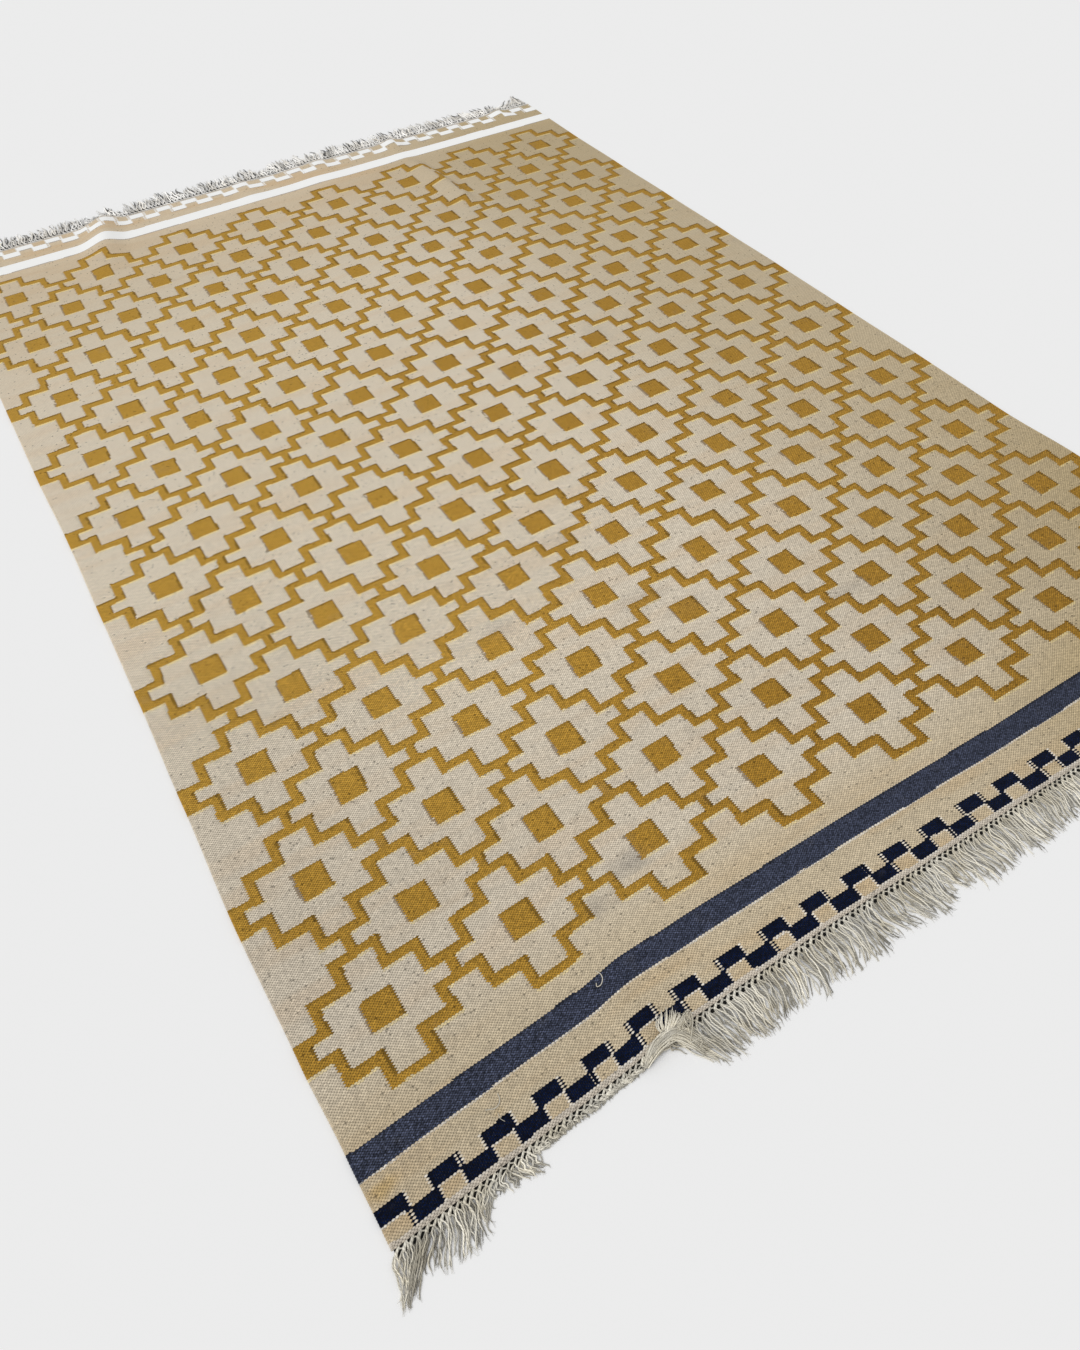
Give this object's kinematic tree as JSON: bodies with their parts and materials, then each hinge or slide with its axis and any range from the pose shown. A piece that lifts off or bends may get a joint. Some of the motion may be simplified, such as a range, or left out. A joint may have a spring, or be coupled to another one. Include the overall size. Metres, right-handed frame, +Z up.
{
  "type": "flat-woven rug",
  "caption": "Flat-woven rug with a stepped-diamond lattice, end stripes, rows of checks and a knotted fringe at each end, lying on the floor.",
  "frame": {"origin": "on the flat underside, at the middle of the woven pattern", "axes": "+X across the rug from the left selvedge to the right one, +Y along it from the near fringe to the far fringe, +Z up"},
  "size_m": [1.719, 2.5917, 0.0209],
  "materials": {
    "woven_cloth": "matt weft-faced wool plain weave: undyed beige ground, ochre pattern, slate-navy stripe and dark navy checks at the near end, pale undyed ones at the far end",
    "warp_fringe": "off-white plied cotton warp ends, knotted and left loose, a little soiled"
  },
  "bodies": {
    "root": {"cloth": "woven_cloth", "fringe_near": "warp_fringe", "fringe_far": "warp_fringe"}
  },
  "joints": []
}
